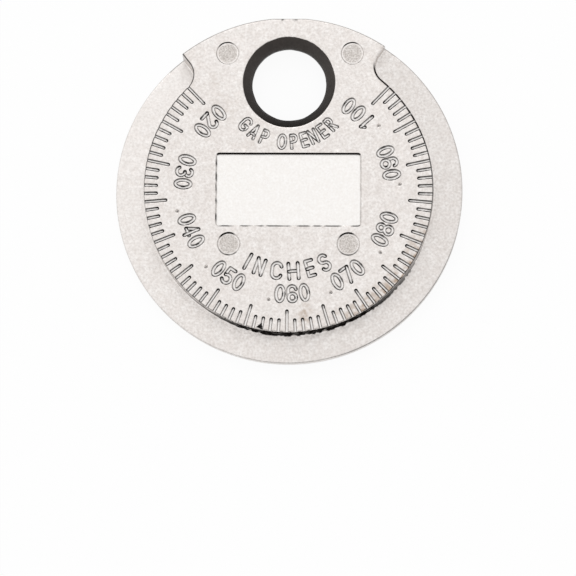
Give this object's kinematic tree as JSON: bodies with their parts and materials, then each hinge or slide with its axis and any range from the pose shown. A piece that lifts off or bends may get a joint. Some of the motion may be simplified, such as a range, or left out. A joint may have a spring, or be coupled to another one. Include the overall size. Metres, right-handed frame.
{
  "type": "spark plug gap gauge",
  "caption": "Coin-shaped die-cast gap gauge: a thin flange thickens round the rim as a ramp, with an inch scale on the face and a key-ring hole.",
  "frame": {"origin": "on the axis of the disc, in the plane of its plain back face", "axes": "+Z out of the marked face, +Y from the middle of the disc to the key-ring hole, +X to the right as the face is read"},
  "size_m": [0.045, 0.0449, 0.004],
  "materials": {
    "nickel_zinc": null
  },
  "bodies": {
    "root": {"gauge_disc": "nickel_zinc"}
  },
  "joints": []
}
